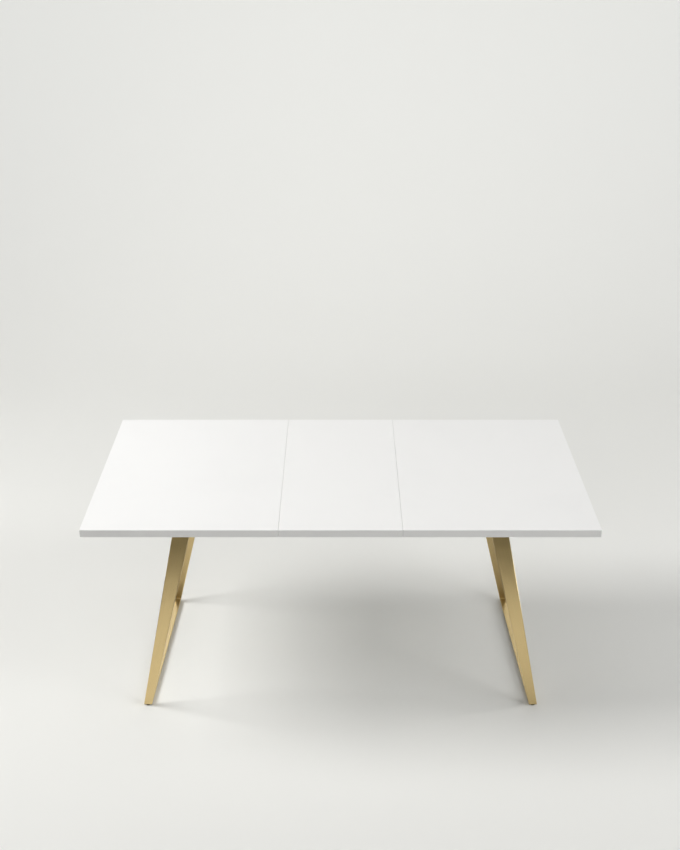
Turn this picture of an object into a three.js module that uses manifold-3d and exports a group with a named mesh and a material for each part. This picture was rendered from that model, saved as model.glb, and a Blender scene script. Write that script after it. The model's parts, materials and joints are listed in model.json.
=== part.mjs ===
// Extendable dining table: a white lacquered top in three panels on two brass ribbon leg frames.
// Millimetres. X runs along the table, +Z is up, the front long side faces -Y.
// The origin is on the floor, under the middle of the top. The leaf is in and the ends are shut on it.

import * as THREE from "three";
import { ConvexGeometry } from "three/addons/geometries/ConvexGeometry.js";
import { mergeVertices } from "three/addons/utils/BufferGeometryUtils.js";
import Module from "manifold-3d";

const wasm = await Module();
wasm.setup();

// ---- Top ----
const TABLE_HEIGHT = 750;
const TABLE_DEPTH = 900;
const END_LENGTH = 640;
const LEAF_LENGTH = 400;
const TOP_THICKNESS = 26;
const TOP_CHAMFER = 0.8;
const SEAM_GAP = 0.4;

// ---- Leg frames: one flat bar, wide at the top and narrow at the floor, leaning outwards ----
const FRAME_SETBACK = 98;
const BAR_THICKNESS = 12;
const FOOT_INSET = 149;
const FOOT_WIDTH = 28.5;
const HEAD_INSET = 292.5;
const HEAD_WIDTH = 59;
const TOE_IN = 21;
const WELD_GAP = 0.2;
const GLIDE_HEIGHT = 4;
const GLIDE_RADIUS = 8;
const GLIDE_STUD_RADIUS = 3;
const GLIDE_STUD_LENGTH = 9;

// ---- Leg plates and their screws ----
const PLATE_LENGTH = 110;
const PLATE_WIDTH = 70;
const PLATE_THICKNESS = 5;
const PLATE_LIP = 9;
const PLATE_SCREW_EDGE = 12;
const SCREW_RADIUS = 2.5;
const SCREW_HEAD_RADIUS = 5;
const SCREW_HEAD_HEIGHT = 3;
const SCREW_BITE = 16;
const SCREW_CLEARANCE = 0.3;

// ---- Centre beams, that carry the leaf and guide the ends ----
const BEAM_WIDTH = 18;
const BEAM_HEIGHT = 49;
const BEAM_END_GAP = 21;
const PAD_HEIGHT = 3;
const PAD_RADIUS = 8;
const PAD_PLAY = 0.2;
const TONGUE_DEPTH = 8;
const TONGUE_HEIGHT = 10;
const TONGUE_DROP = 14;

// ---- End channels and their liners ----
const CHANNEL_INSET = 6;
const CHANNEL_END_INSET = 34;
const CHANNEL_PLATE_GAP = 5;
const CHANNEL_WALL = 5;
const CHANNEL_FLANGE = 46;
const CHANNEL_FOOT = 28;
const CHANNEL_FLANGE_THICKNESS = 4;
const LIP_GAP = 1;
const LINER_WALL = 2.5;
const LINER_LENGTH = 60;
const LINER_INSET = 4;
const SLIDE_PLAY = 0.4;
const LINER_FIT = 0.2;
const SPREAD_TRAVEL = 30;
const CLOSE_TRAVEL = LEAF_LENGTH / 2;
const STOP_LENGTH = 20;
const STOP_PLAY = 0.5;

// ---- Cross ties, leaf pegs ----
const TIE_X = 150;
const TIE_WIDTH = 30;
const TIE_HEIGHT = 20;
const TIE_LIFT = 4;
const PEG_RADIUS = 5;
const PEG_BITE = 10;
const PEG_DROP = 12;
const PEG_PLAY = 0.4;

// ---- Racks and pinion, that make the two ends move together ----
const GEAR_MODULE = 2;
const PINION_TEETH = 16;
const PRESSURE_ANGLE = THREE.MathUtils.degToRad(20);
const BACKLASH = 0.5;
const RACK_HEIGHT = 12;
const RACK_BACK = 12;
const RACK_TIP = 46;
const RACK_MOUNT_LENGTH = 60;
const RACK_MOUNT_GAP = 70;
const RACK_LIFT = 1;
const TRAY_THICKNESS = 3;
const TRAY_OVERHANG = 12;
const AXLE_RADIUS = 4;
const AXLE_PLAY = 0.1;
const RACK_BRACKET_WIDTH = 34;

// ---- Lock levers ----
const LOCK_INSET = 35;
const CAM_RADIUS = 12.5;
const CAM_OFFSET = 4.2;
const CAM_PLAY = 0.3;
const LEVER_THICKNESS = 10;
const LEVER_REACH = 82;
const LEVER_WIDTH = 14;
const LEVER_TIP_RADIUS = 9;

// ---- Worked out from the sizes above ----
const HALF_DEPTH = TABLE_DEPTH / 2;
const LEAF_HALF = LEAF_LENGTH / 2;
const TOP_HALF_LENGTH = LEAF_HALF + END_LENGTH;
const UNDERSIDE = TABLE_HEIGHT - TOP_THICKNESS;
const FRAME_HALF_DEPTH = HALF_DEPTH - FRAME_SETBACK;
const FOOT_OUTER_X = TOP_HALF_LENGTH - FOOT_INSET;
const HEAD_OUTER_X = TOP_HALF_LENGTH - HEAD_INSET;
const RAIL_TOP = GLIDE_HEIGHT + BAR_THICKNESS;
const PLATE_BOTTOM = UNDERSIDE - PLATE_THICKNESS;
const BEAM_TOP = UNDERSIDE - PAD_HEIGHT;
const BEAM_BOTTOM = BEAM_TOP - BEAM_HEIGHT;
const PLATE_INNER_Y = FRAME_HALF_DEPTH + PLATE_LIP - PLATE_WIDTH;
const LIP_Y = PLATE_INNER_Y - CHANNEL_PLATE_GAP - CHANNEL_FLANGE;
const BEAM_OUTER_Y = LIP_Y - LIP_GAP;
const BEAM_INNER_Y = BEAM_OUTER_Y - BEAM_WIDTH;
const BEAM_CENTRE_Y = (BEAM_INNER_Y + BEAM_OUTER_Y) / 2;
const TONGUE_TOP = BEAM_TOP - TONGUE_DROP;
const TONGUE_BOTTOM = TONGUE_TOP - TONGUE_HEIGHT;
const GROOVE_ROOM = SLIDE_PLAY + LINER_WALL + LINER_FIT;
const GROOVE_TOP = TONGUE_TOP + GROOVE_ROOM;
const GROOVE_BOTTOM = TONGUE_BOTTOM - GROOVE_ROOM;
const GROOVE_Y = BEAM_OUTER_Y + TONGUE_DEPTH + GROOVE_ROOM;
const CHANNEL_BOTTOM = GROOVE_BOTTOM - CHANNEL_WALL;
const CHANNEL_START = LEAF_HALF + CHANNEL_INSET;
const CHANNEL_END = TOP_HALF_LENGTH - CHANNEL_END_INSET;
const BEAM_HALF_LENGTH = CHANNEL_END - CLOSE_TRAVEL - BEAM_END_GAP;
const TIE_BOTTOM = BEAM_BOTTOM + TIE_LIFT;
const TIE_TOP = TIE_BOTTOM + TIE_HEIGHT;
const TRAY_TOP = TIE_TOP + TRAY_THICKNESS;
const RACK_BOTTOM = TRAY_TOP + RACK_LIFT;
const RACK_TOP = RACK_BOTTOM + RACK_HEIGHT;
const PITCH_RADIUS = (GEAR_MODULE * PINION_TEETH) / 2;
const TOOTH_PITCH = Math.PI * GEAR_MODULE;
const ADDENDUM = GEAR_MODULE;
const DEDENDUM = 1.25 * GEAR_MODULE;
const RACK_BACK_Y = PITCH_RADIUS + DEDENDUM + RACK_BACK;
const RACK_MOUNT_X = LEAF_HALF + RACK_MOUNT_GAP;
const RACK_END_X = RACK_MOUNT_X + RACK_MOUNT_LENGTH;
const LOCK_X = CHANNEL_START + LOCK_INSET;
const LOCK_Y = BEAM_OUTER_Y + CAM_RADIUS + CAM_OFFSET + CAM_PLAY;
const LEVER_TOP = CHANNEL_BOTTOM - 2;
const LEVER_BOTTOM = LEVER_TOP - LEVER_THICKNESS;

const material = (color, roughness, metalness) =>
  new THREE.MeshStandardMaterial({ color, roughness, metalness });

const WHITE_LACQUER = material(0xf1f1ee, 0.55, 0);
const BRASS = material(0xc39a55, 0.32, 1);
const ALUMINIUM = material(0xb9bbbd, 0.4, 1);
const STEEL = material(0x9a9c9e, 0.35, 1);
const BLACK_STEEL = material(0x26272a, 0.5, 0.4);
const NYLON = material(0xe4e2da, 0.5, 0);
const RUBBER = material(0x232323, 0.8, 0);

const table = new THREE.Group();

// Adds a named mesh with a material of its own.
function piece(name, geometry, look) {
  const mesh = new THREE.Mesh(geometry, look.clone());
  mesh.name = name;
  table.add(mesh);
  return mesh;
}

// ---- Solids ----

// A box between two opposite corners.
function block(x0, x1, y0, y1, z0, z1) {
  const geometry = new THREE.BoxGeometry(Math.abs(x1 - x0), Math.abs(y1 - y0), Math.abs(z1 - z0));
  return geometry.translate((x0 + x1) / 2, (y0 + y1) / 2, (z0 + z1) / 2);
}

// An outline of [x, y] points, pulled up from z0 to z1.
function upright(outline, z0, z1) {
  const shape = new THREE.Shape(outline.map(([x, y]) => new THREE.Vector2(x, y)));
  const geometry = new THREE.ExtrudeGeometry(shape, { depth: z1 - z0, bevelEnabled: false });
  return geometry.translate(0, 0, z0);
}

// An outline of [y, z] points, pulled along X from x0 to x1.
function lengthways(outline, x0, x1) {
  const shape = new THREE.Shape(outline.map(([y, z]) => new THREE.Vector2(y, z)));
  const geometry = new THREE.ExtrudeGeometry(shape, { depth: x1 - x0, bevelEnabled: false });
  const turn = new THREE.Matrix4().makeBasis(
    new THREE.Vector3(0, 1, 0),
    new THREE.Vector3(0, 0, 1),
    new THREE.Vector3(1, 0, 0),
  );
  return geometry.applyMatrix4(turn).translate(x0, 0, 0);
}

// A turned piece from [radius, z] points, standing on the vertical line through x, y.
function turned(profile, x, y, sides = 24) {
  const points = profile.map(([radius, z]) => new THREE.Vector2(radius, z));
  const geometry = new THREE.LatheGeometry(points, sides);
  return geometry.rotateX(Math.PI / 2).translate(x, y, 0);
}

// A plain round bar from z0 up to z1.
function bar(radius, x, y, z0, z1, sides = 24) {
  return turned([[0, z0], [radius, z0], [radius, z1], [0, z1]], x, y, sides);
}

// The same geometry as one manifold solid.
function solidOf(geometry) {
  const bare = geometry.clone();
  bare.deleteAttribute("normal");
  bare.deleteAttribute("uv");
  const merged = mergeVertices(bare, 1e-4);
  const mesh = new wasm.Mesh({
    numProp: 3,
    vertProperties: merged.attributes.position.array,
    triVerts: new Uint32Array(merged.index.array),
  });
  return new wasm.Manifold(mesh);
}

function geometryOf(solid) {
  const mesh = solid.getMesh();
  const geometry = new THREE.BufferGeometry();
  geometry.setAttribute("position", new THREE.BufferAttribute(mesh.vertProperties, 3));
  geometry.setIndex(new THREE.BufferAttribute(mesh.triVerts, 1));
  return geometry;
}

// A geometry with each of the cutters taken away from it.
function cut(geometry, cutters) {
  const body = cutters.reduce((left, cutter) => left.subtract(solidOf(cutter)), solidOf(geometry));
  return geometryOf(body);
}

function joined(geometries) {
  const [first, ...others] = geometries.map(solidOf);
  return geometryOf(others.reduce((sum, other) => sum.add(other), first));
}

// Mirrors a geometry across the table's middle, and turns its faces outwards again.
function mirroredInX(geometry) {
  const flat = geometry.index ? geometry.toNonIndexed() : geometry.clone();
  const xyz = flat.getAttribute("position");
  const swapped = new Float32Array(xyz.array);
  for (let i = 0; i < xyz.count; i += 3) {
    for (let corner = 0; corner < 3; corner += 1) {
      const from = i + (2 - corner);
      swapped[3 * (i + corner)] = -xyz.getX(from);
      swapped[3 * (i + corner) + 1] = xyz.getY(from);
      swapped[3 * (i + corner) + 2] = xyz.getZ(from);
    }
  }
  return new THREE.BufferGeometry().setAttribute("position", new THREE.BufferAttribute(swapped, 3));
}

// Both ends of the table are worked out on the right, and the left one is its mirror image.
const ENDS = [
  { end: "right", place: (geometry) => geometry },
  { end: "left", place: mirroredInX },
];
// The front long side lies at -Y, and the rear one at +Y.
const SIDES = [
  { side: "front", sign: -1 },
  { side: "rear", sign: 1 },
];

// ---- Top ----

// A panel with its long and short arrises broken by a small chamfer.
function panel(x0, x1) {
  const inset = TOP_CHAMFER;
  const outline = [
    [x0 + inset, -HALF_DEPTH + inset],
    [x1 - inset, -HALF_DEPTH + inset],
    [x1 - inset, HALF_DEPTH - inset],
    [x0 + inset, HALF_DEPTH - inset],
  ];
  const shape = new THREE.Shape(outline.map(([x, y]) => new THREE.Vector2(x, y)));
  const geometry = new THREE.ExtrudeGeometry(shape, {
    depth: TOP_THICKNESS - 2 * inset,
    bevelThickness: inset,
    bevelSize: inset,
    bevelSegments: 1,
  });
  return geometry.translate(0, 0, UNDERSIDE + inset);
}

// How far in from the front uprights the frame has drawn at a depth y.
function toe(y) {
  return (TOE_IN * (y + FRAME_HALF_DEPTH)) / (2 * FRAME_HALF_DEPTH);
}

// The frame's outer and inner faces are planes that lean outwards towards the floor.
function outerX(y, z) {
  const fall = (UNDERSIDE - z) / (UNDERSIDE - GLIDE_HEIGHT);
  return HEAD_OUTER_X + (FOOT_OUTER_X - HEAD_OUTER_X) * fall - toe(y);
}

function innerX(y, z) {
  const fall = (UNDERSIDE - z) / (UNDERSIDE - GLIDE_HEIGHT);
  return outerX(y, z) - HEAD_WIDTH - (FOOT_WIDTH - HEAD_WIDTH) * fall;
}

// Where a leg's plate has its middle, and where its three screws go.
function plateCentre(sign) {
  const y = sign * (FRAME_HALF_DEPTH - BAR_THICKNESS / 2);
  return (outerX(y, PLATE_BOTTOM) + innerX(y, PLATE_BOTTOM)) / 2;
}

function plateScrews(sign) {
  const x = plateCentre(sign);
  const flank = PLATE_LENGTH / 2 - PLATE_SCREW_EDGE;
  const barY = sign * (FRAME_HALF_DEPTH - BAR_THICKNESS / 2);
  const inboardY = sign * (PLATE_INNER_Y + PLATE_SCREW_EDGE);
  return [
    { name: "inner", x: x - flank, y: barY },
    { name: "outer", x: x + flank, y: barY },
    { name: "middle", x, y: inboardY },
  ];
}

function screwHole(screw) {
  const radius = SCREW_RADIUS + SCREW_CLEARANCE;
  const top = UNDERSIDE + SCREW_BITE + SCREW_CLEARANCE;
  return bar(radius, screw.x, screw.y, PLATE_BOTTOM - 1, top, 12);
}

for (const { end, place } of ENDS) {
  const screws = SIDES.flatMap(({ sign }) => plateScrews(sign));
  const board = panel(LEAF_HALF + SEAM_GAP, TOP_HALF_LENGTH);
  piece(end + "_top_panel", place(cut(board, screws.map(screwHole))), WHITE_LACQUER);
}

const pegHole = (sign) =>
  bar(PEG_RADIUS + PEG_PLAY, 0, sign * BEAM_CENTRE_Y, BEAM_TOP - PEG_DROP - PEG_PLAY,
    UNDERSIDE + PEG_BITE + PEG_PLAY);
piece(
  "leaf_panel",
  cut(panel(-LEAF_HALF, LEAF_HALF), SIDES.map(({ sign }) => pegHole(sign))),
  WHITE_LACQUER,
);

// ---- Leg frames ----

// The part of the leaning frame whose [y, z] outline is given.
function frameBar(outline) {
  const corners = outline.flatMap(([y, z]) => [
    new THREE.Vector3(outerX(y, z), y, z),
    new THREE.Vector3(innerX(y, z), y, z),
  ]);
  return new ConvexGeometry(corners);
}

const GLIDE_Y = FRAME_HALF_DEPTH - GLIDE_RADIUS - 1;

function glideX(sign) {
  const y = sign * GLIDE_Y;
  return (outerX(y, GLIDE_HEIGHT) + innerX(y, GLIDE_HEIGHT)) / 2;
}

function legUpright(sign) {
  const outerY = sign * FRAME_HALF_DEPTH;
  const innerY = sign * (FRAME_HALF_DEPTH - BAR_THICKNESS);
  const low = RAIL_TOP + WELD_GAP;
  return frameBar([[outerY, low], [innerY, low], [innerY, PLATE_BOTTOM], [outerY, PLATE_BOTTOM]]);
}

function floorRail() {
  const y = FRAME_HALF_DEPTH;
  const rail = frameBar([[-y, GLIDE_HEIGHT], [y, GLIDE_HEIGHT], [y, RAIL_TOP], [-y, RAIL_TOP]]);
  const studHoles = SIDES.map(({ sign }) =>
    bar(GLIDE_STUD_RADIUS + SCREW_CLEARANCE, glideX(sign), sign * GLIDE_Y, GLIDE_HEIGHT - 1,
      GLIDE_HEIGHT + GLIDE_STUD_LENGTH + SCREW_CLEARANCE, 12));
  return cut(rail, studHoles);
}

function glide(sign) {
  const profile = [
    [0, 0],
    [GLIDE_RADIUS - 1, 0],
    [GLIDE_RADIUS, 1],
    [GLIDE_RADIUS, GLIDE_HEIGHT],
    [GLIDE_STUD_RADIUS, GLIDE_HEIGHT],
    [GLIDE_STUD_RADIUS, GLIDE_HEIGHT + GLIDE_STUD_LENGTH],
    [0, GLIDE_HEIGHT + GLIDE_STUD_LENGTH],
  ];
  return turned(profile, glideX(sign), sign * GLIDE_Y, 20);
}

// A flat plate on the leg's head, with a countersink for each screw.
function legPlate(sign) {
  const x = plateCentre(sign);
  const outerY = sign * (FRAME_HALF_DEPTH + PLATE_LIP);
  const innerY = sign * PLATE_INNER_Y;
  const plate = block(x - PLATE_LENGTH / 2, x + PLATE_LENGTH / 2, outerY, innerY, PLATE_BOTTOM, UNDERSIDE);
  return cut(plate, plateScrews(sign).map(screwSeat));
}

function screwSeat(screw) {
  const c = SCREW_CLEARANCE;
  const profile = [
    [0, PLATE_BOTTOM - 1],
    [SCREW_HEAD_RADIUS + c, PLATE_BOTTOM - 1],
    [SCREW_HEAD_RADIUS + c, PLATE_BOTTOM],
    [SCREW_RADIUS + c, PLATE_BOTTOM + SCREW_HEAD_HEIGHT],
    [SCREW_RADIUS + c, UNDERSIDE + 1],
    [0, UNDERSIDE + 1],
  ];
  return turned(profile, screw.x, screw.y, 12);
}

function screwGeometry(screw) {
  const profile = [
    [0, PLATE_BOTTOM],
    [SCREW_HEAD_RADIUS, PLATE_BOTTOM],
    [SCREW_RADIUS, PLATE_BOTTOM + SCREW_HEAD_HEIGHT],
    [SCREW_RADIUS, UNDERSIDE + SCREW_BITE - 4],
    [0, UNDERSIDE + SCREW_BITE],
  ];
  return turned(profile, screw.x, screw.y, 12);
}

for (const { end, place } of ENDS) {
  piece(end + "_floor_rail", place(floorRail()), BRASS);
  for (const { side, sign } of SIDES) {
    piece(end + "_" + side + "_leg", place(legUpright(sign)), BRASS);
    piece(end + "_" + side + "_leg_plate", place(legPlate(sign)), BLACK_STEEL);
    piece(end + "_" + side + "_glide", place(glide(sign)), RUBBER);
    for (const screw of plateScrews(sign)) {
      piece(end + "_" + side + "_leg_screw_" + screw.name, place(screwGeometry(screw)), STEEL);
    }
  }
}

// ---- Centre frame ----

// A beam's section: an upright web with the guide tongue on its outer face.
function centreBeam(sign) {
  const outline = [
    [sign * BEAM_INNER_Y, BEAM_BOTTOM],
    [sign * BEAM_OUTER_Y, BEAM_BOTTOM],
    [sign * BEAM_OUTER_Y, TONGUE_BOTTOM],
    [sign * (BEAM_OUTER_Y + TONGUE_DEPTH), TONGUE_BOTTOM],
    [sign * (BEAM_OUTER_Y + TONGUE_DEPTH), TONGUE_TOP],
    [sign * BEAM_OUTER_Y, TONGUE_TOP],
    [sign * BEAM_OUTER_Y, BEAM_TOP],
    [sign * BEAM_INNER_Y, BEAM_TOP],
  ];
  return cut(lengthways(outline, -BEAM_HALF_LENGTH, BEAM_HALF_LENGTH), [pegHole(sign)]);
}

for (const { side, sign } of SIDES) {
  piece(side + "_centre_beam", centreBeam(sign), ALUMINIUM);
  const peg = bar(PEG_RADIUS, 0, sign * BEAM_CENTRE_Y, BEAM_TOP - PEG_DROP, UNDERSIDE + PEG_BITE, 16);
  piece(side + "_leaf_peg", peg, STEEL);
  for (const { end, place } of ENDS) {
    const pad = bar(PAD_RADIUS, TIE_X, sign * BEAM_CENTRE_Y, BEAM_TOP, UNDERSIDE - PAD_PLAY, 16);
    piece(end + "_" + side + "_leaf_pad", place(pad), RUBBER);
  }
}

for (const { end, place } of ENDS) {
  const y = BEAM_INNER_Y;
  const tie = block(TIE_X - TIE_WIDTH / 2, TIE_X + TIE_WIDTH / 2, -y, y, TIE_BOTTOM, TIE_TOP);
  piece(end + "_cross_tie", place(tie), BLACK_STEEL);
}

// ---- End channels, liners and stops ----

// The channel's section: a top flange for its screws, a groove that faces the beam, and a foot.
function slideChannel(sign) {
  const webY = GROOVE_Y + CHANNEL_WALL;
  const outline = [
    [LIP_Y, CHANNEL_BOTTOM],
    [LIP_Y + CHANNEL_FOOT, CHANNEL_BOTTOM],
    [LIP_Y + CHANNEL_FOOT, GROOVE_BOTTOM],
    [webY, GROOVE_BOTTOM],
    [webY, UNDERSIDE - CHANNEL_FLANGE_THICKNESS],
    [LIP_Y + CHANNEL_FLANGE, UNDERSIDE - CHANNEL_FLANGE_THICKNESS],
    [LIP_Y + CHANNEL_FLANGE, UNDERSIDE],
    [GROOVE_Y, UNDERSIDE],
    [GROOVE_Y, GROOVE_TOP + CHANNEL_WALL],
    [LIP_Y, GROOVE_TOP + CHANNEL_WALL],
    [LIP_Y, GROOVE_TOP],
    [GROOVE_Y, GROOVE_TOP],
    [GROOVE_Y, GROOVE_BOTTOM],
    [LIP_Y, GROOVE_BOTTOM],
  ];
  const sided = outline.map(([y, z]) => [sign * y, z]);
  return lengthways(sided, CHANNEL_START, CHANNEL_END);
}

// The liner lines the groove round the tongue, just inside the channel's inner end.
function slideLiner(sign) {
  const low = GROOVE_BOTTOM + LINER_FIT;
  const high = GROOVE_TOP - LINER_FIT;
  const back = GROOVE_Y - LINER_FIT;
  const outline = [
    [LIP_Y, low],
    [back, low],
    [back, high],
    [LIP_Y, high],
    [LIP_Y, high - LINER_WALL],
    [back - LINER_WALL, high - LINER_WALL],
    [back - LINER_WALL, low + LINER_WALL],
    [LIP_Y, low + LINER_WALL],
  ];
  const sided = outline.map(([y, z]) => [sign * y, z]);
  const start = CHANNEL_START + LINER_INSET;
  return lengthways(sided, start, start + LINER_LENGTH);
}

function travelStop() {
  const x = CHANNEL_START + LINER_INSET + LINER_LENGTH + SPREAD_TRAVEL + STOP_PLAY;
  const outerY = BEAM_OUTER_Y + TONGUE_DEPTH;
  return block(x, x + STOP_LENGTH, -BEAM_OUTER_Y, -outerY, TONGUE_TOP, TONGUE_TOP + LINER_WALL);
}

// The lever's round cam sits off its pivot, and its arm lies along the channel when it is locked.
function lockLever() {
  const armY = -LOCK_Y;
  const steps = 24;
  const rim = [];
  for (let i = 0; i < steps; i += 1) {
    const angle = (2 * Math.PI * i) / steps;
    rim.push([LOCK_X + CAM_RADIUS * Math.cos(angle), armY + CAM_OFFSET + CAM_RADIUS * Math.sin(angle)]);
  }
  const cam = upright(rim, LEVER_BOTTOM, LEVER_TOP);
  const tip = bar(LEVER_TIP_RADIUS, LOCK_X + LEVER_REACH, armY, LEVER_BOTTOM, LEVER_TOP);
  const halfWidth = LEVER_WIDTH / 2;
  const arm = block(LOCK_X, LOCK_X + LEVER_REACH, armY - halfWidth, armY + halfWidth, LEVER_BOTTOM, LEVER_TOP);
  return cut(joined([cam, arm, tip]), [lockPivotHole()]);
}

function lockPivotHole() {
  const radius = AXLE_RADIUS + AXLE_PLAY;
  return bar(radius, LOCK_X, -LOCK_Y, LEVER_BOTTOM - 1, CHANNEL_BOTTOM + CHANNEL_WALL + 1);
}

function lockPivot() {
  const profile = [
    [0, LEVER_BOTTOM - 4],
    [2 * AXLE_RADIUS, LEVER_BOTTOM - 4],
    [2 * AXLE_RADIUS, LEVER_BOTTOM - 0.5],
    [AXLE_RADIUS, LEVER_BOTTOM - 0.5],
    [AXLE_RADIUS, CHANNEL_BOTTOM + CHANNEL_WALL],
    [0, CHANNEL_BOTTOM + CHANNEL_WALL],
  ];
  return turned(profile, LOCK_X, -LOCK_Y);
}

for (const { end, place } of ENDS) {
  for (const { side, sign } of SIDES) {
    const channel = slideChannel(sign);
    const drilled = side === "front" ? cut(channel, [lockPivotHole()]) : geometryOf(solidOf(channel));
    piece(end + "_" + side + "_slide_channel", place(drilled), ALUMINIUM);
    piece(end + "_" + side + "_slide_liner", place(geometryOf(solidOf(slideLiner(sign)))), NYLON);
  }
  piece(end + "_travel_stop", place(travelStop()), NYLON);
  piece(end + "_lock_lever", place(lockLever()), BLACK_STEEL);
  piece(end + "_lock_pivot", place(lockPivot()), STEEL);
}

// ---- Racks, pinion and their tray ----

// A rack beyond the pinion at +Y, whose straight teeth point at the pinion.
function rackOutline() {
  const half = (TOOTH_PITCH - 2 * BACKLASH) / 4;
  const slope = Math.tan(PRESSURE_ANGLE);
  const tipHalf = half - ADDENDUM * slope;
  const rootHalf = half + DEDENDUM * slope;
  const tipY = PITCH_RADIUS - ADDENDUM;
  const rootY = PITCH_RADIUS + DEDENDUM;
  const first = -Math.floor((RACK_TIP - rootHalf) / TOOTH_PITCH);
  const last = Math.ceil((CLOSE_TRAVEL + PITCH_RADIUS) / TOOTH_PITCH);
  const points = [[-RACK_TIP, RACK_BACK_Y], [-RACK_TIP, rootY]];
  for (let tooth = first; tooth <= last; tooth += 1) {
    const x = tooth * TOOTH_PITCH;
    points.push([x - rootHalf, rootY], [x - tipHalf, tipY], [x + tipHalf, tipY], [x + rootHalf, rootY]);
  }
  points.push([RACK_END_X, rootY], [RACK_END_X, RACK_BACK_Y]);
  return points;
}

// The pinion's tooth flanks are involutes of its base circle. A gap, not a tooth, faces +Y.
function pinionOutline() {
  const base = PITCH_RADIUS * Math.cos(PRESSURE_ANGLE);
  const tip = PITCH_RADIUS + ADDENDUM;
  const root = PITCH_RADIUS - DEDENDUM;
  const involute = (radius) => {
    const angle = Math.acos(Math.min(1, base / radius));
    return Math.tan(angle) - angle;
  };
  const pitchHalf = (TOOTH_PITCH - 2 * BACKLASH) / 4 / PITCH_RADIUS;
  const radii = [base, base + (tip - base) / 3, base + (2 * (tip - base)) / 3, tip];
  const flank = radii.map((radius) => [radius, pitchHalf + involute(PITCH_RADIUS) - involute(radius)]);
  const points = [];
  for (let tooth = 0; tooth < PINION_TEETH; tooth += 1) {
    const middle = Math.PI / 2 + ((tooth + 0.5) * 2 * Math.PI) / PINION_TEETH;
    const half = [[root, flank[0][1]], ...flank];
    half.forEach(([radius, off]) => points.push([radius, middle - off]));
    [...half].reverse().forEach(([radius, off]) => points.push([radius, middle + off]));
  }
  return points.map(([radius, angle]) => [radius * Math.cos(angle), radius * Math.sin(angle)]);
}

const PINION_BOTTOM = TRAY_TOP + 0.5;
const PINION_TOP = RACK_TOP + 0.5;
const axleHole = bar(AXLE_RADIUS + AXLE_PLAY, 0, 0, TIE_TOP - 10, PINION_TOP + 1);
piece("pinion", cut(upright(pinionOutline(), PINION_BOTTOM, PINION_TOP), [axleHole]), NYLON);

const axleProfile = [
  [0, TIE_TOP - 5],
  [2 * AXLE_RADIUS, TIE_TOP - 5],
  [2 * AXLE_RADIUS, TIE_TOP - 0.3],
  [AXLE_RADIUS, TIE_TOP - 0.3],
  [AXLE_RADIUS, PINION_TOP + 0.5],
  [1.6 * AXLE_RADIUS, PINION_TOP + 0.5],
  [1.6 * AXLE_RADIUS, PINION_TOP + 2.5],
  [0, PINION_TOP + 2.5],
];
piece("pinion_axle", turned(axleProfile, 0, 0), STEEL);

// The tray spans the two cross ties. Its turned-up edges keep the racks in mesh.
const trayEdge = RACK_BACK_Y + 0.5;
const trayX = TIE_X + TRAY_OVERHANG;
const trayOutline = [
  [-trayEdge - TRAY_THICKNESS, TIE_TOP],
  [trayEdge + TRAY_THICKNESS, TIE_TOP],
  [trayEdge + TRAY_THICKNESS, RACK_TOP - 1],
  [trayEdge, RACK_TOP - 1],
  [trayEdge, TRAY_TOP],
  [-trayEdge, TRAY_TOP],
  [-trayEdge, RACK_TOP - 1],
  [-trayEdge - TRAY_THICKNESS, RACK_TOP - 1],
];
piece("pinion_tray", cut(lengthways(trayOutline, -trayX, trayX), [axleHole]), STEEL);

// The left rack is the right one turned half round the pinion's axle. With an odd number of teeth a
// tooth faces -Y, so the left rack then stands half a tooth further on.
const halfTurn = new THREE.Matrix4().makeRotationZ(Math.PI);
halfTurn.setPosition(((PINION_TEETH % 2) * TOOTH_PITCH) / 2, 0, 0);
const rack = geometryOf(solidOf(upright(rackOutline(), RACK_BOTTOM, RACK_TOP)));
const bracketY = PITCH_RADIUS - ADDENDUM;
const bracket = block(RACK_MOUNT_X, RACK_END_X, bracketY, bracketY + RACK_BRACKET_WIDTH, RACK_TOP, UNDERSIDE);
piece("right_rack", rack, NYLON);
piece("right_rack_bracket", bracket, BLACK_STEEL);
piece("left_rack", rack.clone().applyMatrix4(halfTurn), NYLON);
piece("left_rack_bracket", bracket.clone().applyMatrix4(halfTurn), BLACK_STEEL);

export default table;
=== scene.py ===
"""Extendable dining table: white lacquered top in three panels on two brushed brass leg frames.

Metres. X runs along the table, the front long side faces -Y, +Z is up, and the floor is at z = 0.
"""
import json
import math

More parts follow.
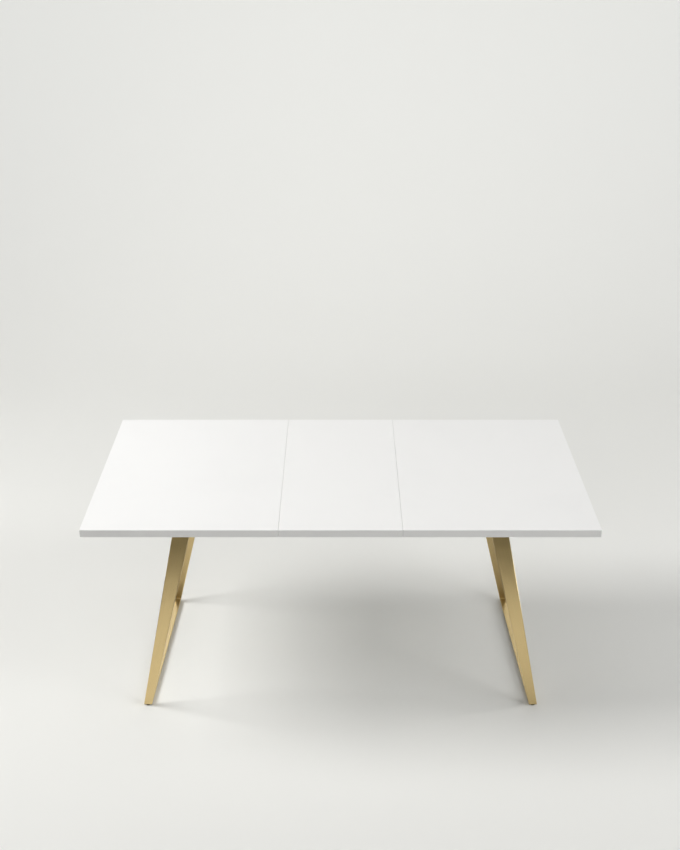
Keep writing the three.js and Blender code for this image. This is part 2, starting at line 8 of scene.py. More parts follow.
import bmesh
import bpy
import numpy as np
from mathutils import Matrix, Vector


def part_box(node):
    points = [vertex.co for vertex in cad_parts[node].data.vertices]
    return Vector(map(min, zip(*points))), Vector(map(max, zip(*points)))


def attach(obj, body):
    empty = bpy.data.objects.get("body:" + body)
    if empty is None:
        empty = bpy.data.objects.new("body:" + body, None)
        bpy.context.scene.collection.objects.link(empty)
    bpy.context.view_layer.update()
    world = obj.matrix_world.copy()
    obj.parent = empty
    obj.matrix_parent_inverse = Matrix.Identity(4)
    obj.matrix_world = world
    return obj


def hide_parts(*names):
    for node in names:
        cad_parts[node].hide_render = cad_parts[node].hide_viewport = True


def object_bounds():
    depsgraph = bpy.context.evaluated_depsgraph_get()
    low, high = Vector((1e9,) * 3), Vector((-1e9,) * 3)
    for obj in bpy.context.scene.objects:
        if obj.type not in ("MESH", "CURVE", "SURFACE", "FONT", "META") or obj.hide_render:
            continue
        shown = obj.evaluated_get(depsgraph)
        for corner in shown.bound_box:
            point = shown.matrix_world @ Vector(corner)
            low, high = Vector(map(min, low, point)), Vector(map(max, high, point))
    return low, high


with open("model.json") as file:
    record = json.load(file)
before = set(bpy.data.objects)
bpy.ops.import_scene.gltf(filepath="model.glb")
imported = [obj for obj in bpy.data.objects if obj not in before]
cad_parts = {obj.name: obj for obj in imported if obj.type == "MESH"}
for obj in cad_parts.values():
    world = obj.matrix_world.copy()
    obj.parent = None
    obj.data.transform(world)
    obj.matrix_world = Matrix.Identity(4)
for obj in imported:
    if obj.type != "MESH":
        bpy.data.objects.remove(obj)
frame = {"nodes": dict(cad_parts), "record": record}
CAD_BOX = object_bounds()
NODES = frame["nodes"]
MM = 0.001
ENDS = ("left", "right")
SIDES = ("front", "rear")


# ---------------------------------------------------------------------------
# Camera
# ---------------------------------------------------------------------------

# The camera stands in front of the table's front edge and looks down at it.
CAMERA_BACK = 3.598
CAMERA_HEIGHT = 2.683
CAMERA_PITCH = math.radians(23.5)
CAMERA_SIDE = -0.0018
LENS = 53.69
SENSOR = 36.0


def make_camera():
    """A level-rolled camera, measured from the front edge of the table and the floor, pitched down."""
    low = CAD_BOX[0]
    data = bpy.data.cameras.new("camera")
    data.sensor_fit = "VERTICAL"
    data.sensor_height = SENSOR
    data.lens = LENS
    data.clip_end = 60.0
    camera = bpy.data.objects.new("camera", data)
    camera.location = (CAMERA_SIDE, low[1] - CAMERA_BACK, low[2] + CAMERA_HEIGHT)
    camera.rotation_euler = (math.pi / 2 - CAMERA_PITCH, 0.0, 0.0)
    bpy.context.scene.collection.objects.link(camera)
    bpy.context.scene.camera = camera


# ---------------------------------------------------------------------------
# Node helpers
# ---------------------------------------------------------------------------

def add_node(tree, kind, **settings):
    """A node with its own settings: a name that is an input's sets that input, any other sets a property."""
    node = tree.nodes.new(kind)
    for name, value in settings.items():
        socket = node.inputs.get(name.replace("_", " "))
        if socket is not None:
            socket.default_value = value
        else:
            setattr(node, name, value)
    return node


def wire(tree, source, out_name, target, in_name):
    """A link from one node's output to another node's input."""
    tree.links.new(source.outputs[out_name], target.inputs[in_name])


def new_group(name, inputs, outputs):
    """An empty shader group: inputs are (name, type, default), outputs are (name, type)."""
    group = bpy.data.node_groups.new(name, "ShaderNodeTree")
    for label, kind, default in inputs:
        socket = group.interface.new_socket(label, in_out="INPUT", socket_type=kind)
        socket.default_value = default
    for label, kind in outputs:
        group.interface.new_socket(label, in_out="OUTPUT", socket_type=kind)
    start = group.nodes.new("NodeGroupInput")
    end = group.nodes.new("NodeGroupOutput")
    return group, start, end


FLOAT = "NodeSocketFloat"
VECTOR = "NodeSocketVector"


def make_brushing_group():
    """Fine straight scratches along one direction: noise stretched hard along it, at two widths."""
    group, start, end = new_group(
        "brushing",
        [("Vector", VECTOR, (0, 0, 0)), ("Fine", FLOAT, 900.0), ("Coarse", FLOAT, 160.0),
         ("Mix", FLOAT, 0.4)],
        [("Lines", FLOAT), ("Patches", FLOAT)],
    )
    fine = add_node(group, "ShaderNodeTexNoise", Detail=3.0, Roughness=0.6)
    coarse = add_node(group, "ShaderNodeTexNoise", Detail=2.0, Roughness=0.5)
    patches = add_node(group, "ShaderNodeTexNoise", Scale=4.0, Detail=2.0)
    mix = add_node(group, "ShaderNodeMix", data_type="FLOAT")
    wire(group, start, "Vector", fine, "Vector")
    wire(group, start, "Vector", coarse, "Vector")
    wire(group, start, "Vector", patches, "Vector")
    wire(group, start, "Fine", fine, "Scale")
    wire(group, start, "Coarse", coarse, "Scale")
    wire(group, start, "Mix", mix, "Factor")
    wire(group, fine, "Fac", mix, "A")
    wire(group, coarse, "Fac", mix, "B")
    wire(group, mix, "Result", end, "Lines")
    wire(group, patches, "Fac", end, "Patches")
    return group


def make_handling_group():
    """Soft, uneven patches from one broad noise, for handling marks: 0 where clean, 1 where dull."""
    group, start, end = new_group(
        "handling",
        [("Vector", VECTOR, (0, 0, 0)), ("Size", FLOAT, 3.0), ("From", FLOAT, 0.45), ("To", FLOAT, 0.75)],
        [("Mask", FLOAT)],
    )
    broad = add_node(group, "ShaderNodeTexNoise", Detail=4.0, Roughness=0.55)
    ramp = add_node(group, "ShaderNodeMapRange", interpolation_type="SMOOTHSTEP")
    wire(group, start, "Vector", broad, "Vector")
    wire(group, start, "Size", broad, "Scale")
    wire(group, broad, "Fac", ramp, "Value")
    wire(group, start, "From", ramp, "From Min")
    wire(group, start, "To", ramp, "From Max")
    wire(group, ramp, "Result", end, "Mask")
    return group


BRUSHING = make_brushing_group()
HANDLING = make_handling_group()


def group_node(tree, group, **values):
    """A shared node group placed in a material with its own values."""
    node = tree.nodes.new("ShaderNodeGroup")
    node.node_tree = group
    for name, value in values.items():
        node.inputs[name].default_value = value
    return node


def blank_material(name):
    """A material with only a Principled shader and its output, and the object's coordinates."""
    made = bpy.data.materials.new(name)
    made.use_nodes = True
    tree = made.node_tree
    tree.nodes.clear()
    shader = tree.nodes.new("ShaderNodeBsdfPrincipled")
    output = tree.nodes.new("ShaderNodeOutputMaterial")
    tree.links.new(shader.outputs["BSDF"], output.inputs["Surface"])
    place = tree.nodes.new("ShaderNodeTexCoord")
    return made, tree, shader, place


def stretched(tree, place, along, squeeze, socket="Object"):
    """Coordinates squeezed along one axis, so that a noise read there runs in lines along it."""
    scale = [1.0, 1.0, 1.0]
    scale[along] = squeeze
    mapping = add_node(tree, "ShaderNodeMapping")
    mapping.inputs["Scale"].default_value = scale
    tree.links.new(place.outputs[socket], mapping.inputs["Vector"])
    return mapping


def shade_between(tree, mask, dark, light):
    """A colour that goes from dark to light as the mask goes from 0 to 1."""
    mix = add_node(tree, "ShaderNodeMix", data_type="RGBA")
    mix.inputs["A"].default_value = (*dark, 1.0)
    mix.inputs["B"].default_value = (*light, 1.0)
    tree.links.new(mask, mix.inputs["Factor"])
    return mix.outputs["Result"]


def value_between(tree, mask, low, high):
    """A value that goes from low to high as the mask goes from 0 to 1."""
    ramp = add_node(tree, "ShaderNodeMapRange")
    ramp.inputs["To Min"].default_value = low
    ramp.inputs["To Max"].default_value = high
    tree.links.new(mask, ramp.inputs["Value"])
    return ramp.outputs["Result"]


def bump_from(tree, shader, height, strength, distance):
    """Relief on the shader's normal from a height."""
    bump = add_node(tree, "ShaderNodeBump", Strength=strength, Distance=distance)
    tree.links.new(height, bump.inputs["Height"])
    tree.links.new(bump.outputs["Normal"], shader.inputs["Normal"])


# ---------------------------------------------------------------------------
# Materials
# ---------------------------------------------------------------------------

def white_lacquer():
    """Matt white lacquer: a faint orange peel, slightly duller where hands have rubbed it."""
    made, tree, shader, place = blank_material("white_lacquer")
    marks = group_node(tree, HANDLING, Size=2.2, From=0.42, To=0.72)
    wire(tree, place, "Object", marks, "Vector")
    tint = shade_between(tree, marks.outputs["Mask"], (0.885, 0.882, 0.872), (0.868, 0.866, 0.857))
    tree.links.new(tint, shader.inputs["Base Color"])
    rough = value_between(tree, marks.outputs["Mask"], 0.42, 0.5)
    tree.links.new(rough, shader.inputs["Roughness"])
    peel = add_node(tree, "ShaderNodeTexNoise", Scale=420.0, Detail=2.0, Roughness=0.5)
    wire(tree, place, "Object", peel, "Vector")
    bump_from(tree, shader, peel.outputs["Fac"], 0.06, 0.0004)
    shader.inputs["Specular IOR Level"].default_value = 0.4
    return made


def brushed_brass():
    """Satin brass, brushed along each bar: the bar's own UV map has V along its length."""
    made, tree, shader, place = blank_material("brushed_brass")
    lines_at = stretched(tree, place, along=1, squeeze=0.012, socket="UV")
    lines = group_node(tree, BRUSHING, Fine=2400.0, Coarse=430.0, Mix=0.45)
    wire(tree, lines_at, "Vector", lines, "Vector")
    marks = group_node(tree, HANDLING, Size=5.0, From=0.45, To=0.8)
    wire(tree, place, "Object", marks, "Vector")
    tone = shade_between(tree, lines.outputs["Lines"], (0.66, 0.505, 0.245), (0.83, 0.645, 0.34))
    tree.links.new(tone, shader.inputs["Base Color"])
    soft = value_between(tree, lines.outputs["Lines"], 0.2, 0.4)
    dull = add_node(tree, "ShaderNodeMath", operation="MULTIPLY_ADD")
    tree.links.new(marks.outputs["Mask"], dull.inputs[0])
    dull.inputs[1].default_value = 0.05
    tree.links.new(soft, dull.inputs[2])
    tree.links.new(dull.outputs["Value"], shader.inputs["Roughness"])
    bump_from(tree, shader, lines.outputs["Lines"], 0.2, 0.0002)
    shader.inputs["Metallic"].default_value = 1.0
    return made


def anodised_aluminium():
    """Extruded aluminium with die lines along X and a fine etched grain under the anodising."""
    made, tree, shader, place = blank_material("anodised_aluminium")
    lines_at = stretched(tree, place, along=0, squeeze=0.01)
    lines = group_node(tree, BRUSHING, Fine=1500.0, Coarse=420.0, Mix=0.5)
    wire(tree, lines_at, "Vector", lines, "Vector")
    etch = add_node(tree, "ShaderNodeTexNoise", Scale=1800.0, Detail=2.0)
    wire(tree, place, "Object", etch, "Vector")
    tone = shade_between(tree, lines.outputs["Lines"], (0.56, 0.565, 0.575), (0.68, 0.685, 0.69))
    tree.links.new(tone, shader.inputs["Base Color"])
    tree.links.new(value_between(tree, lines.outputs["Lines"], 0.34, 0.48), shader.inputs["Roughness"])
    bump_from(tree, shader, etch.outputs["Fac"], 0.1, 0.0002)
    shader.inputs["Metallic"].default_value = 1.0
    return made


def zinc_steel():
    """Bright zinc plate with its soft mottled bloom."""
    made, tree, shader, place = blank_material("zinc_steel")
    bloom = group_node(tree, HANDLING, Size=140.0, From=0.2, To=0.85)
    wire(tree, place, "Object", bloom, "Vector")
    tone = shade_between(tree, bloom.outputs["Mask"], (0.60, 0.61, 0.62), (0.54, 0.55, 0.565))
    tree.links.new(tone, shader.inputs["Base Color"])
    tree.links.new(value_between(tree, bloom.outputs["Mask"], 0.3, 0.37), shader.inputs["Roughness"])
    shader.inputs["Metallic"].default_value = 1.0
    return made


def black_steel():
    """Fine black powder coat: a close pebbled skin."""
    made, tree, shader, place = blank_material("black_steel")
    pebble = add_node(tree, "ShaderNodeTexVoronoi", Scale=1400.0)
    wire(tree, place, "Object", pebble, "Vector")
    broad = add_node(tree, "ShaderNodeTexNoise", Scale=26.0, Detail=3.0)
    wire(tree, place, "Object", broad, "Vector")
    tone = shade_between(tree, broad.outputs["Fac"], (0.022, 0.022, 0.024), (0.034, 0.034, 0.036))
    tree.links.new(tone, shader.inputs["Base Color"])
    tree.links.new(value_between(tree, pebble.outputs["Distance"], 0.46, 0.6), shader.inputs["Roughness"])
    bump_from(tree, shader, pebble.outputs["Distance"], 0.25, 0.0003)
    return made


def white_nylon():
    """Moulded nylon: slightly see-through, with faint flow marks."""
    made, tree, shader, place = blank_material("white_nylon")
    flow_at = stretched(tree, place, along=0, squeeze=0.3)
    flow = add_node(tree, "ShaderNodeTexNoise", Scale=60.0, Detail=3.0)
    wire(tree, flow_at, "Vector", flow, "Vector")
    tone = shade_between(tree, flow.outputs["Fac"], (0.74, 0.73, 0.68), (0.82, 0.81, 0.77))
    tree.links.new(tone, shader.inputs["Base Color"])
    tree.links.new(value_between(tree, flow.outputs["Fac"], 0.4, 0.52), shader.inputs["Roughness"])
    bump_from(tree, shader, flow.outputs["Fac"], 0.08, 0.0004)
    shader.inputs["Subsurface Weight"].default_value = 0.15
    shader.inputs["Subsurface Radius"].default_value = (0.002, 0.002, 0.0018)
    return made


def dark_rubber():
    """Dark grey rubber with a fine matt tooth."""
    made, tree, shader, place = blank_material("dark_rubber")
    tooth = add_node(tree, "ShaderNodeTexNoise", Scale=1600.0, Detail=2.0)
    wire(tree, place, "Object", tooth, "Vector")
    tone = shade_between(tree, tooth.outputs["Fac"], (0.02, 0.019, 0.018), (0.04, 0.038, 0.036))
    tree.links.new(tone, shader.inputs["Base Color"])
    tree.links.new(value_between(tree, tooth.outputs["Fac"], 0.68, 0.85), shader.inputs["Roughness"])
    bump_from(tree, shader, tooth.outputs["Fac"], 0.3, 0.0002)
    return made


LOOKS = {
    "white_lacquer": white_lacquer(),
    "brushed_brass": brushed_brass(),
    "anodised_aluminium": anodised_aluminium(),
    "zinc_steel": zinc_steel(),
    "black_steel": black_steel(),
    "white_nylon": white_nylon(),
    "dark_rubber": dark_rubber(),
}


def dress_cad_nodes():
    """Each CAD node takes the finish of its slot in the record."""
    for subpart in frame["record"]["subparts"]:
        node = NODES[subpart["node"]]
        node.data.materials.clear()
        node.data.materials.append(LOOKS[subpart["material_slot"]])


# ---------------------------------------------------------------------------
# Mesh helpers
# ---------------------------------------------------------------------------

def mesh_piece(name, points, faces, slot, body, uv=None):
    """A new piece from vertex rows and a list of faces, riding on a body. uv is one (u, v) per vertex."""
    mesh = bpy.data.meshes.new(name)
    mesh.from_pydata(points.reshape(-1, 3).tolist(), [], faces)
    if uv is not None:
        layer = mesh.uv_layers.new(name="UVMap")
        corners = np.zeros(len(mesh.loops), np.int32)
        mesh.loops.foreach_get("vertex_index", corners)
        layer.data.foreach_set("uv", uv.reshape(-1, 2)[corners].astype(np.float32).ravel())
    mesh.materials.append(LOOKS[slot])
    mesh.polygons.foreach_set("use_smooth", np.ones(len(mesh.polygons), bool))
    mesh.validate()
    piece = bpy.data.objects.new(name, mesh)
    bpy.context.scene.collection.objects.link(piece)
    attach(piece, body)
    return piece


def grid_faces(rows, columns):
    """Quads over a grid of vertex rows whose columns close on themselves."""
    row = np.arange(rows - 1)[:, None]
    column = np.arange(columns)[None, :]
    following = (column + 1) % columns
    a = row * columns + column
    b = row * columns + following
    c = (row + 1) * columns + following
    d = (row + 1) * columns + column
    return np.stack([a, b, c, d], axis=-1).reshape(-1, 4).tolist()


def capped(rows, columns):
    """The faces of a closed tube of vertex rows, with one flat face on each end."""
    start = np.arange(columns)[::-1].tolist()
    stop = ((rows - 1) * columns + np.arange(columns)).tolist()
    return grid_faces(rows, columns) + [start, stop]


def corners_of(node):
    """Every corner of a CAD node, one (x, y, z) row each."""
    mesh = NODES[node].data
    xyz = np.zeros(len(mesh.vertices) * 3)
    mesh.vertices.foreach_get("co", xyz)
    return xyz.reshape(-1, 3)


# ---------------------------------------------------------------------------
# Stage and light
# ---------------------------------------------------------------------------

ROOM_SEEN = 0.80
ROOM_COLOR = (0.995, 1.0, 0.965, 1.0)
FLOOR_HALF_WIDTH = 9.0
FLOOR_FRONT = -7.0
WALL_Y = 5.0
CURVE_RADIUS = 2.4
WALL_HEIGHT = 6.5

# How far from the middle of the table the paper starts and stops fading.
FADE_FROM = 3.0
FADE_TO = 6.6
PAPER = (0.80, 0.80, 0.775, 1.0)
PAPER_ROUGHNESS = 0.9
PAPER_SHINE = 0.15
CURVE_STEPS = 25


def finish_paper(tree, shader):
    """Far from the table the camera sees the paper fade into the room's own tone, so no horizon shows, and
    the paper's back lets everything through, so the table can be seen from under the floor."""
    place = add_node(tree, "ShaderNodeNewGeometry")
    flat = add_node(tree, "ShaderNodeVectorMath", operation="MULTIPLY")
    flat.inputs[1].default_value = (1.0, 1.0, 0.0)
    reach = add_node(tree, "ShaderNodeVectorMath", operation="LENGTH")
    fade = add_node(tree, "ShaderNodeMapRange", interpolation_type="SMOOTHSTEP")
    fade.inputs["From Min"].default_value = FADE_FROM
    fade.inputs["From Max"].default_value = FADE_TO
    ray = add_node(tree, "ShaderNodeLightPath")
    seen = add_node(tree, "ShaderNodeMath", operation="MULTIPLY")
    far = add_node(tree, "ShaderNodeEmission", Color=ROOM_COLOR, Strength=ROOM_SEEN)
    near_or_far = add_node(tree, "ShaderNodeMixShader")
    clear = add_node(tree, "ShaderNodeBsdfTransparent")
    front_or_back = add_node(tree, "ShaderNodeMixShader")
    output = next(node for node in tree.nodes if node.type == "OUTPUT_MATERIAL")
    wire(tree, place, "Position", flat, 0)
    wire(tree, flat, "Vector", reach, 0)
    wire(tree, reach, "Value", fade, "Value")
    wire(tree, fade, "Result", seen, 0)
    wire(tree, ray, "Is Camera Ray", seen, 1)
    wire(tree, seen, "Value", near_or_far, "Fac")
    wire(tree, shader, "BSDF", near_or_far, 1)
    wire(tree, far, "Emission", near_or_far, 2)
    wire(tree, place, "Backfacing", front_or_back, "Fac")
    wire(tree, near_or_far, "Shader", front_or_back, 1)
    wire(tree, clear, "BSDF", front_or_back, 2)
    wire(tree, front_or_back, "Shader", output, "Surface")


def make_stage():
    """A floor that curves up into a wall: a straight run, a quarter circle and a straight run."""
    turn = np.linspace(0.0, math.pi / 2, CURVE_STEPS)
    y = WALL_Y - CURVE_RADIUS + CURVE_RADIUS * np.sin(turn)
    z = CURVE_RADIUS * (1.0 - np.cos(turn))
    y = np.concatenate([[FLOOR_FRONT], y, [WALL_Y]])
    z = np.concatenate([[0.0], z, [WALL_HEIGHT]])
    left = np.stack([np.full_like(y, -FLOOR_HALF_WIDTH), y, z], axis=-1)
    right = np.stack([np.full_like(y, FLOOR_HALF_WIDTH), y, z], axis=-1)
    count = len(y)
    faces = [(i, count + i, count + i + 1, i + 1) for i in range(count - 1)]
    mesh = bpy.data.meshes.new("studio_floor")
    mesh.from_pydata(np.concatenate([left, right]).tolist(), [], faces)
    mesh.polygons.foreach_set("use_smooth", np.ones(len(mesh.polygons), bool))
    made, tree, shader, _ = blank_material("studio_paper")
    shader.inputs["Base Color"].default_value = PAPER
    shader.inputs["Roughness"].default_value = PAPER_ROUGHNESS
    shader.inputs["Specular IOR Level"].default_value = PAPER_SHINE
    finish_paper(tree, shader)
    mesh.materials.append(made)
    stage = bpy.data.objects.new("studio_floor", mesh)
    bpy.context.scene.collection.objects.link(stage)


FLAG_NEAR = -1.25
FLAG_FAR = -6.5
FLAG_HALF_WIDTH = 5.0
FLAG_LIFT = 0.004
# The colour of the painted dark reflection that the card puts into the brass.
FLAG_TONE = (0.07, 0.062, 0.03, 1.0)


def make_flag():
    """A matt dark card laid on the floor in front of the table, which only reflections see: a painted dark
    reflection that darkens the upper part of the brass uprights.
    """
    corners = [
        (-FLAG_HALF_WIDTH, FLAG_FAR, FLAG_LIFT), (FLAG_HALF_WIDTH, FLAG_FAR, FLAG_LIFT),
        (FLAG_HALF_WIDTH, FLAG_NEAR, FLAG_LIFT), (-FLAG_HALF_WIDTH, FLAG_NEAR, FLAG_LIFT),
    ]
    mesh = bpy.data.meshes.new("black_flag")
    mesh.from_pydata(corners, [], [(0, 1, 2, 3)])
    made, _, shader, _ = blank_material("black_card")
    shader.inputs["Base Color"].default_value = FLAG_TONE
    shader.inputs["Roughness"].default_value = 1.0
    shader.inputs["Specular IOR Level"].default_value = 0.0
    mesh.materials.append(made)
    flag = bpy.data.objects.new("black_flag", mesh)
    flag.visible_camera = False
    flag.visible_diffuse = False
    flag.visible_transmission = False
    flag.visible_shadow = False
    bpy.context.scene.collection.objects.link(flag)


def area_light(name, place, aim, size, power, color, spread):
    """A rectangular lamp at a place, facing the point it aims at."""
    data = bpy.data.lights.new(name, "AREA")
    data.shape = "RECTANGLE"
    data.size, data.size_y = size
    data.energy = power
    data.color = color
    data.spread = math.radians(spread)
    lamp = bpy.data.objects.new(name, data)
    lamp.location = place
    direction = np.array(aim, float) - np.array(place, float)
    across = math.hypot(direction[0], direction[1])
    turn = math.atan2(direction[1], direction[0]) - math.pi / 2
    lamp.rotation_euler = (math.atan2(across, -direction[2]), 0.0, turn)
    bpy.context.scene.collection.objects.link(lamp)
    return lamp


# Each lamp: place, the point it faces, its two sides, power, colour and how widely it spreads in degrees.
LAMPS = {
    "key": ((-4.0, 0.0, 4.5), (-0.3, 0.0, 0.6), (2.3, 2.3), 104.0, (1.0, 0.995, 0.985), 140.0),
    "key_low": ((-4.6, 0.0, 3.6), (-0.3, 0.0, 0.6), (2.3, 2.3), 42.0, (1.0, 0.995, 0.985), 140.0),
    "front_fill": ((0.0, -4.95, 3.1), (0.0, 0.0, 0.5), (1.9, 1.9), 48.0, (1.0, 1.0, 1.0), 180.0),
    "front_right_fill": ((3.4, -2.0, 4.45), (0.0, 0.0, 0.5), (1.9, 1.9), 60.0, (1.0, 1.0, 1.0), 180.0),
    "right_fill": ((5.4, 0.0, 1.95), (0.0, 0.0, 0.5), (1.9, 1.9), 120.0, (1.0, 1.0, 1.0), 180.0),
    "overhead": ((-0.3, 0.4, 5.6), (0.0, 0.0, 0.5), (3.0, 3.0), 24.0, (1.0, 1.0, 1.0), 180.0),
    "rail_glow": ((-1.45, 3.2, 2.25), (-0.7, 0.0, 0.0), (1.4, 1.4), 3.0, (0.92, 0.98, 1.12), 180.0),
    "backdrop_wash": ((0.0, 3.2, 4.8), (0.0, 5.2, 1.2), (6.0, 1.0), 47.0, (1.0, 1.0, 1.0), 120.0),
}
# The front fill stands beside the camera, so the brass would throw it straight back.
UNREFLECTED = ("front_fill",)
# The rail glow is seen only in reflections: it lights the top of the left floor rail from behind.
ONLY_REFLECTED = ("rail_glow",)
ROOM_LIGHT = 0.05


def make_light():
    """A soft key from the left, fills from the front and right, a wash over the backdrop, and a dim room."""
    for name, (place, aim, size, power, color, spread) in LAMPS.items():
        lamp = area_light(name, place, aim, size, power, color, spread)
        lamp.visible_glossy = name not in UNREFLECTED
        lamp.visible_diffuse = name not in ONLY_REFLECTED
    world = bpy.data.worlds.new("room")
    world.use_nodes = True
    tree = world.node_tree
    background = tree.nodes["Background"]
    background.inputs["Color"].default_value = ROOM_COLOR
    ray = add_node(tree, "ShaderNodeLightPath")
    level = add_node(tree, "ShaderNodeMapRange")
    level.inputs["To Min"].default_value = ROOM_LIGHT
    level.inputs["To Max"].default_value = ROOM_SEEN
    wire(tree, ray, "Is Camera Ray", level, "Value")
    wire(tree, level, "Result", background, "Strength")
    bpy.context.scene.world = world
    bpy.context.scene.view_settings.view_transform = "Standard"


# ---------------------------------------------------------------------------
# Leg frames
# ---------------------------------------------------------------------------

ARRIS = 1.9 * MM
BEND = 2.2 * MM
ARC_STEPS = 5


def frame_planes(end):
    """The leaning planes of a leg frame's outer and inner faces, x = a + b y + c z, from its CAD corners."""
    names = [f"{end}_front_leg", f"{end}_rear_leg"]
    points = np.concatenate([corners_of(name) for name in names])
    spread = np.round(points[:, 1:], 5)
    faces = []
    for pick in (np.argmax, np.argmin):
        rows = []
        for pair in np.unique(spread, axis=0):
            same = points[(spread == pair).all(axis=1)]
            rows.append(same[pick(np.abs(same[:, 0]))])
        rows = np.array(rows)
        basis = np.stack([np.ones(len(rows)), rows[:, 1], rows[:, 2]], axis=-1)
        faces.append(np.linalg.lstsq(basis, rows[:, 0], rcond=None)[0])
    return faces


def rounded_turn(corner, before, after, radius):
    """Points of an arc of that radius inside a right-angled corner between two unit directions."""
    turn = np.linspace(0.0, math.pi / 2, ARC_STEPS)[:, None]
    centre = corner - radius * before + radius * after
    return centre + radius * (-after * np.cos(turn) + before * np.sin(turn))


def ribbon_path(half_depth, low, high, offset):
    """The frame's U outline in (y, z), drawn in by an offset from its outer face."""
    y = half_depth - offset
    z = low + offset
    down = np.array([0.0, -1.0])
    back = np.array([1.0, 0.0])
    front = rounded_turn(np.array([-y, z]), down, back, BEND)
    rear = rounded_turn(np.array([y, z]), back, -down, BEND)
    return np.concatenate([[[-y, high]], front, rear, [[y, high]]])


def leg_frame(end):
    """One flat bar bent and welded into a U. Its section is a rectangle with rounded arrises, carried along
    the U: t goes through the bar's thickness, and w goes from the inner leaning plane to the outer one."""
    rail_low, rail_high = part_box(f"{end}_floor_rail")
    head_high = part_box(f"{end}_front_leg")[1][2]
    half_depth = rail_high[1]
    thickness = rail_high[2] - rail_low[2]
    outer, inner = frame_planes(end)
    arc = np.linspace(0.0, math.pi / 2, ARC_STEPS)
    rim = ARRIS * (1.0 - np.sin(arc))
    side = ARRIS * (1.0 - np.cos(arc))
    # Each row of the section: offset through the thickness, inset from the leaning plane, and which plane.
    section = [(t, w, 0) for t, w in zip(rim[::-1], side[::-1])]
    section += [(thickness - t, w, 0) for t, w in zip(rim, side)]
    section += [(thickness - t, w, 1) for t, w in zip(rim[::-1], side[::-1])]
    section += [(t, w, 1) for t, w in zip(rim, side)]
    columns = []
    for offset, inset, face in section:
        path = ribbon_path(half_depth, rail_low[2], head_high, offset)
        plane = (outer, inner)[face]
        x = plane[0] + plane[1] * path[:, 0] + plane[2] * path[:, 1]
        inwards = np.sign(outer[0]) * (1 if face == 0 else -1)
        columns.append(np.stack([x - inwards * inset, path[:, 0], path[:, 1]], axis=-1))
    points = np.stack(columns, axis=1)
    rows, count = points.shape[:2]
    steps = np.linalg.norm(np.diff(points[:, 0], axis=0), axis=-1)
    along = np.concatenate([[0.0], np.cumsum(steps)])
    around = np.concatenate([[0.0], np.cumsum(np.linalg.norm(np.diff(points[0], axis=0), axis=-1))])
    uv = np.stack(np.broadcast_arrays(around[None, :], along[:, None]), axis=-1)
    faces = capped(rows, count)
    if end == "right":
        faces = [face[::-1] for face in faces]
    piece = mesh_piece(f"{end}_leg_frame", points, faces, "brushed_brass", f"{end}_end", uv=uv)
    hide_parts(f"{end}_front_leg", f"{end}_rear_leg", f"{end}_floor_rail")
    weigh_normals(piece)
    return piece


# ---------------------------------------------------------------------------
# Rounded and turned pieces
# ---------------------------------------------------------------------------

SHARP_ANGLE = math.radians(38)
SEGMENTS = 48


def weigh_normals(piece):
    """Each vertex takes the mean of its faces' normals weighed by their areas, so broad faces stay flat
    and only the narrow rounded edges turn."""
    mesh = piece.data
    count = len(mesh.polygons)
    normals = np.zeros(count * 3)
    areas = np.zeros(count)
    mesh.polygons.foreach_get("normal", normals)
    mesh.polygons.foreach_get("area", areas)
    totals = np.zeros(count, np.int32)
    mesh.polygons.foreach_get("loop_total", totals)
    corners = np.zeros(len(mesh.loops), np.int32)
    mesh.loops.foreach_get("vertex_index", corners)
    weighed = normals.reshape(-1, 3) * (areas ** 2)[:, None]
    summed = np.zeros((len(mesh.vertices), 3))
    np.add.at(summed, corners, np.repeat(weighed, totals, axis=0))
    lengths = np.linalg.norm(summed, axis=-1, keepdims=True)
    mesh.normals_split_custom_set_from_vertices((summed / np.maximum(lengths, 1e-30)).tolist())


def rounded_ring(half_x, half_y, corner, inset, steps):
    """A rectangle with rounded corners, drawn in by inset: four quarter circles of radius corner - inset."""
    angle = np.concatenate([np.linspace(k, k + 1, steps + 1) for k in range(4)]) * math.pi / 2
    side_x = np.repeat([1.0, -1.0, -1.0, 1.0], steps + 1) * (half_x - corner)
    side_y = np.repeat([1.0, 1.0, -1.0, -1.0], steps + 1) * (half_y - corner)
    radius = corner - inset
    return np.stack([side_x + radius * np.cos(angle), side_y + radius * np.sin(angle)], axis=-1)


def rounded_block(name, box, ease, corner, slot, body, steps=4):
    """A block whose plan is a rounded rectangle and whose top and bottom edges are quarter circles: each row
    is the plan drawn in by ease (1 - sin a), at the height ease (1 - cos a) from the nearer face."""
    low, high = np.array(box[0]), np.array(box[1])
    middle = (low + high) / 2
    half = (high - low) / 2
    arc = np.linspace(0.0, math.pi / 2, steps + 1)
    insets = ease * (1.0 - np.sin(arc))
    rises = ease * (1.0 - np.cos(arc))
    insets = np.concatenate([insets, insets[::-1]])
    heights = np.concatenate([low[2] + rises, high[2] - rises[::-1]])
    rows = []
    for inset, height in zip(insets, heights):
        plan = rounded_ring(half[0], half[1], corner, inset, steps) + middle[:2]
        rows.append(np.column_stack([plan, np.full(len(plan), height)]))
    points = np.stack(rows)
    piece = mesh_piece(name, points, capped(*points.shape[:2]), slot, body)
    weigh_normals(piece)
    return piece


def hexagon(angle):
    """How far a hexagon's side lies from its middle in each direction, for a side 1 away."""
    sixth = math.pi / 3
    return 1.0 / np.cos((angle + sixth / 2) % sixth - sixth / 2)


